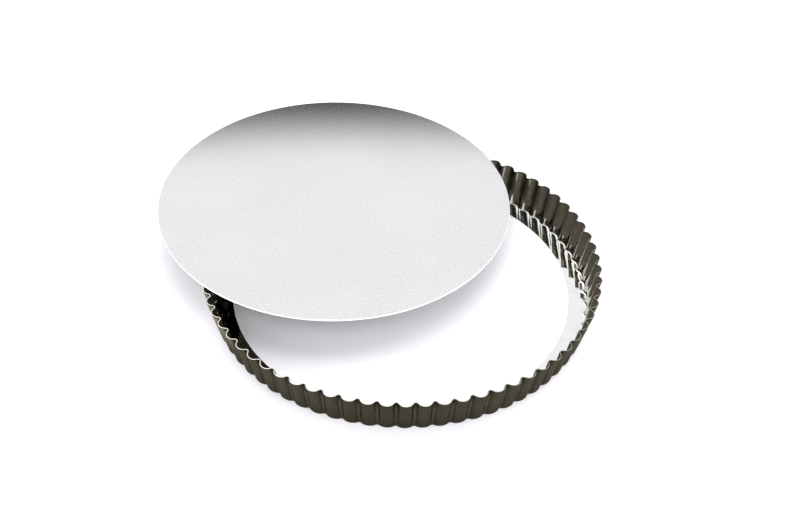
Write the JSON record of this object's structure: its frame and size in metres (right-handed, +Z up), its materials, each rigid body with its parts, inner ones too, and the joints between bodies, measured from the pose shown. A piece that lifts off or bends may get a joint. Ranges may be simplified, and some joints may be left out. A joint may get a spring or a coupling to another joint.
{
  "type": "tart pan",
  "caption": "Round tart pan with a fluted flared ring, a narrow inner ledge and a loose flat base lying across its rim.",
  "frame": {"origin": "centre of the fluted ring on the surface that it stands on", "axes": "+Z up along the ring's axis; the loose base lies towards -X and +Y"},
  "size_m": [0.2856, 0.2974, 0.0258],
  "materials": {
    "ring_sheet": "dark reflective pressed sheet, bright on the ledge and the cut rim",
    "base_sheet": "bright satin rolled sheet with a fine even grain"
  },
  "bodies": {
    "ring": {"fluted_ring": "ring_sheet"},
    "base": {"loose_base": "base_sheet"}
  },
  "joints": [
    {"name": "base_lift", "type": "slide", "parent": "ring", "child": "base", "axis": [0.4793, -0.6045, 0.6363], "range_m": [0, 0.0943]}
  ]
}
